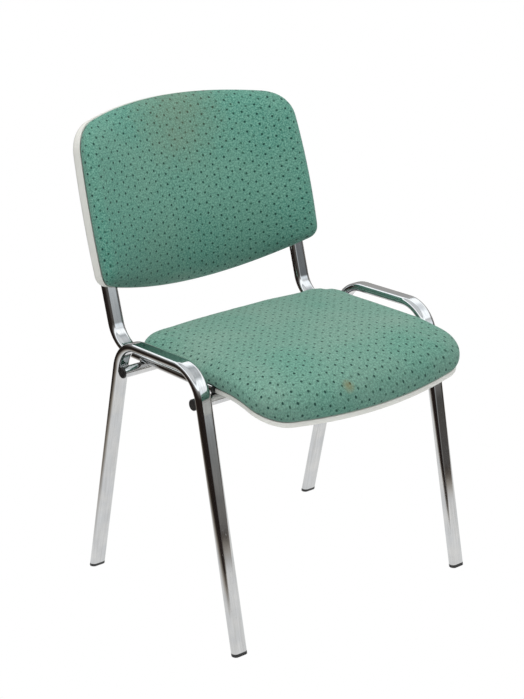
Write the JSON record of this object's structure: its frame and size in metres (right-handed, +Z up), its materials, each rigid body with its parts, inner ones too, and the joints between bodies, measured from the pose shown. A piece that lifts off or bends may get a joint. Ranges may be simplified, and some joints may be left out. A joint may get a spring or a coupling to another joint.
{
  "type": "stacking chair",
  "caption": "Stacking chair with chromed flat-oval tube side frames, cross tubes, an upholstered waterfall seat and a curved upholstered back in moulded shells.",
  "frame": {"origin": "on the floor, in the middle of the chair's outline seen from above", "axes": "+Z up, -Y the way the sitter faces, +X across to the sitter's left"},
  "size_m": [0.545, 0.6228, 0.8309],
  "materials": {
    "chrome": "bright chrome-plated steel tube",
    "black_plastic": "moulded black plastic with a soft sheen",
    "cream_plastic": "moulded cream plastic, finely grained",
    "green_fabric": "woven sea-green cloth with a small dotted pattern over foam",
    "plywood": "moulded beech plywood, bare",
    "zinc_steel": "zinc-plated steel fasteners"
  },
  "bodies": {
    "root": {"back_bolts": "zinc_steel", "back_cushion": "green_fabric", "back_nuts": "zinc_steel", "back_panel": "plywood", "back_shell": "cream_plastic", "cover_screws": "zinc_steel", "front_cross_tube": "chrome", "front_left_glide": "black_plastic", "front_left_tube_plug": "black_plastic", "front_right_glide": "black_plastic", "front_right_tube_plug": "black_plastic", "left_back_support": "chrome", "left_side_frame": "chrome", "left_support_plug": "black_plastic", "rear_cross_tube": "chrome", "rear_left_glide": "black_plastic", "rear_left_tube_plug": "black_plastic", "rear_right_glide": "black_plastic", "rear_right_tube_plug": "black_plastic", "right_back_support": "chrome", "right_side_frame": "chrome", "right_support_plug": "black_plastic", "seat_board": "plywood", "seat_bolts": "zinc_steel", "seat_cushion": "green_fabric", "seat_nuts": "zinc_steel", "seat_pan": "cream_plastic"}
  },
  "joints": []
}
